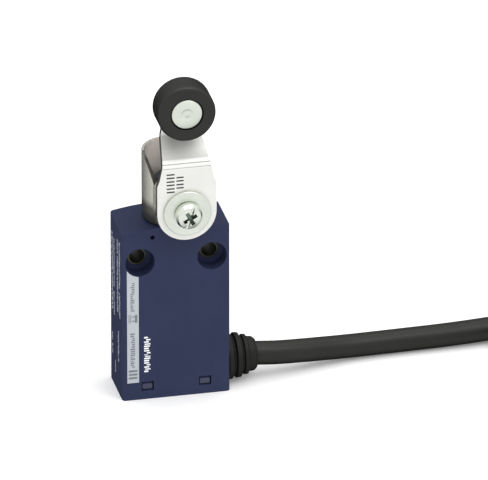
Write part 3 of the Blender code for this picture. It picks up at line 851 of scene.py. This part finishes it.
def roller():
    """The moulded wheel: a flat face, rounded shoulders and a well that the rivet's head sits in."""
    front, rear = roller_low.y, roller_high.y
    radius = (roller_high.z - roller_low.z) / 2
    well, bore, depth = 4.55, 2.6, 1.3
    shoulder = 0.75
    profile = [
        (front + depth, bore),
        (front + depth, well),
        (front, well),
        (front, radius - shoulder),
        (front + 0.25, radius - 0.28),
        (front + shoulder, radius),
        (rear - shoulder, radius),
        (rear - 0.25, radius - 0.28),
        (rear, radius - shoulder),
        (rear, well + 0.6),
        (rear - 0.3, well + 0.3),
        (rear - 0.3, bore),
    ]
    wheel = turned("roller_wheel_finish", profile, hub, ROLLER, rounding=0.22)
    settled(wheel, "roller_wheel", "roller", slot="roller_plastic")


def rivet():
    """The roller's pin: a domed head with a struck ring at its centre, and a peened tail."""
    front, rear = pin_low.y, pin_high.y
    head_r, pin_r, ring_r = (pin_high.z - pin_low.z) / 2, 1.8, 1.9
    dome = []
    for i in range(13):
        radius = ring_r + (head_r - 0.15 - ring_r) * i / 12
        dome.append((front + 0.42 * (radius / head_r) ** 4, radius))
    profile = [
        (front + 0.1, 0.0),
        (front + 0.12, 0.55),
        (front + 0.27, 0.8),
        (front + 0.27, 1.3),
        (front + 0.05, 1.65),
        *dome,
        (front + 0.6, head_r),
        (front + 1.1, head_r),
        (front + 1.1, pin_r),
        (rear - 0.7, pin_r),
        (rear - 0.7, 2.8),
        (rear - 0.25, 2.7),
        (rear, 2.1),
        (rear - 0.12, 0.9),
        (rear - 0.12, 0.0),
    ]
    pin = turned("roller_rivet", profile, hub, ZINC, closed=False, sharp=60)
    settled(pin, "lever_arm", "roller_pin", slot="polished_steel")


def spring(node):
    """A compression spring, its coils copied from the CAD node and set on the housing."""
    bm = bmesh.new()
    bm.from_mesh(NODES[node].data)
    bmesh.ops.scale(bm, vec=(1 / MM,) * 3, verts=bm.verts)
    piece = mesh_object(f"{node}_coils", bm, STEEL, sharp=60)
    settled(piece, "housing", node, slot="polished_steel")
    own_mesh(piece)


def springs():
    spring("plunger_return_spring")
    spring("carrier_spring")


def moving():
    refined(
        "lever",
        LEVER_STEEL_AND_SHADE,
        "lever_arm",
        "polished_steel",
        width=0.15,
        segments=3,
        parts=((LEVER_EDGE_SHADE, lever_edge),),
    )
    refined("index_washer", STEEL, "lever_arm", "polished_steel", width=0.1)
    refined("flat_washer", ZINC, "lever_arm", "zinc_plate", width=0.2, segments=3)
    refined(
        "lever_screw",
        SCREW,
        "lever_arm",
        "zinc_plate",
        width=0.12,
        parts=((RECESS_SHADE, screw_recess),),
    )
    roller()
    rivet()
    springs()


def greeked(first, last, across, height, seed, gaps=()):
    """Stand-in print up a line: the outlines of short bars of uneven width, like text seen from afar.

    It runs from first to last, centred on across. Bars that start within one of the gaps are left out.
    """
    bars = []
    place, step = first, 0
    while place < last - 0.3:
        step += 1
        wobble = math.sin(seed * 12.9898 + step * 78.233) * 43758.5453
        share = wobble - math.floor(wobble)
        width = 0.22 + 0.3 * share
        tall = height * (0.55 + 0.45 * ((share * 7.3) % 1))
        shift = (height - tall) / 2 * (1 if (share * 3.7) % 1 > 0.5 else -1)
        if not any(low <= place <= high for low, high in gaps):
            middle = across + shift
            bars.append(bar(middle - tall / 2, place, middle + tall / 2, min(place + width, last)))
        place += width + 0.24
    return bars


def front_print():
    """Generic marks on the label strip, and beside it, reading upwards."""
    face = label_low.y

    def on_label(u, v, depth):
        return Vector((u, face - depth, v))

    middle = (label_low.x + label_high.x) / 2
    outlines = []
    for low in (6.5, 7.55, 8.6):
        outlines.append(bar(middle - 1.2, low, middle + 1.2, low + 0.6))
    for first, last, height, seed in ((10.0, 20.9, 1.25, 3), (27.0, 35.6, 1.15, 8)):
        outlines += greeked(first, last, middle - 0.1, height, seed)
    outlines += [
        bar(middle - 1.2, 23.5, middle - 1.0, 26.0),
        bar(middle - 0.75, 23.5, middle - 0.55, 26.0),
        bar(middle - 0.3, 23.9, middle + 0.5, 24.2),
        bar(middle + 0.55, 23.5, middle + 1.2, 25.9),
        bar(middle - 0.3, 25.2, middle + 0.5, 25.5),
    ]
    plates("label_print", outlines, on_label, LABEL_INK, "housing")

    def on_front(u, v, depth):
        return Vector((u, body_low.y - depth, v))

    words = greeked(8.2, 18.9, -8.1, 1.75, 21)
    plates("front_print", words, on_front, WHITE_INK, "housing")


def side_print():
    """Faint rating print on the left side, as short bars in upright lines."""

    def on_side(u, v, depth):
        return Vector((body_low.x - depth, u, v))

    outlines = []
    lines = (
        (22.0, 45.6, 4.9, 1.5, 1, ((33.0, 33.6),)),
        (21.4, 44.8, 2.6, 1.3, 2, ((28.4, 29.6),)),
        (24.4, 46.0, -2.0, 1.5, 4, ((40.6, 41.2),)),
        (23.6, 46.4, -4.6, 1.4, 5, ((31.0, 32.4),)),
        (9.6, 18.8, -2.8, 1.2, 6, ()),
        (8.6, 15.2, 5.0, 1.0, 7, ((11.6, 12.2),)),
        (4.6, 8.4, 1.2, 1.0, 9, ()),
    )
    for first, last, across, height, seed, gaps in lines:
        outlines += greeked(first, last, across, height, seed, gaps)
    plates("side_print", outlines, on_side, SIDE_INK, "housing")


def lever_print():
    """Two short rows of dark blocks stamped on the lever, beside its upper bend."""
    face = lever_front

    def on_lever(u, v, depth):
        return Vector((u, face - depth, v))

    outlines = []
    pitch, tall, apart = 2.1, 0.42, 1.0
    for left, right, first, count in ((-3.6, -1.4, 63.8, 3), (-0.9, 1.1, 64.9, 2)):
        for i in range(count):
            for low in (first + pitch * i, first + pitch * i + apart):
                outlines.append(bar(left, low, right, low + tall))
    plates("lever_print", outlines, on_lever, BLACK_INK, "lever_arm")


def remaining():
    dress(
        (
            (SLEEVE_SHADE, ("fixing_sleeve_left", "fixing_sleeve_right")),
            (STEEL, ("lever_shaft", "cam")),
            (BRONZE, ("front_bush", "rear_bush", "roller_bush")),
            (WHITE, ("plunger", "plunger_guide", "contact_block_housing", "contact_carrier")),
            (SMOKE, ("contact_block_cover",)),
            (LABEL, ("front_label",)),
            (BRASS, ("bridge_nc", "bridge_no")),
            (BRASS, ("fixed_contact_nc_left", "fixed_contact_nc_right")),
            (BRASS, ("fixed_contact_no_left", "fixed_contact_no_right")),
            (SHEATH, ("cable_inner_end",)),
            (HEAD, ("cable_clamp",)),
        )
    )
    for name, look in CORE_LOOKS.items():
        dress(((look, (f"inner_core_{name}",)),))


def main():
    place_camera()
    cable()
    stage()
    casing()
    moving()
    front_print()
    side_print()
    lever_print()
    remaining()


main()
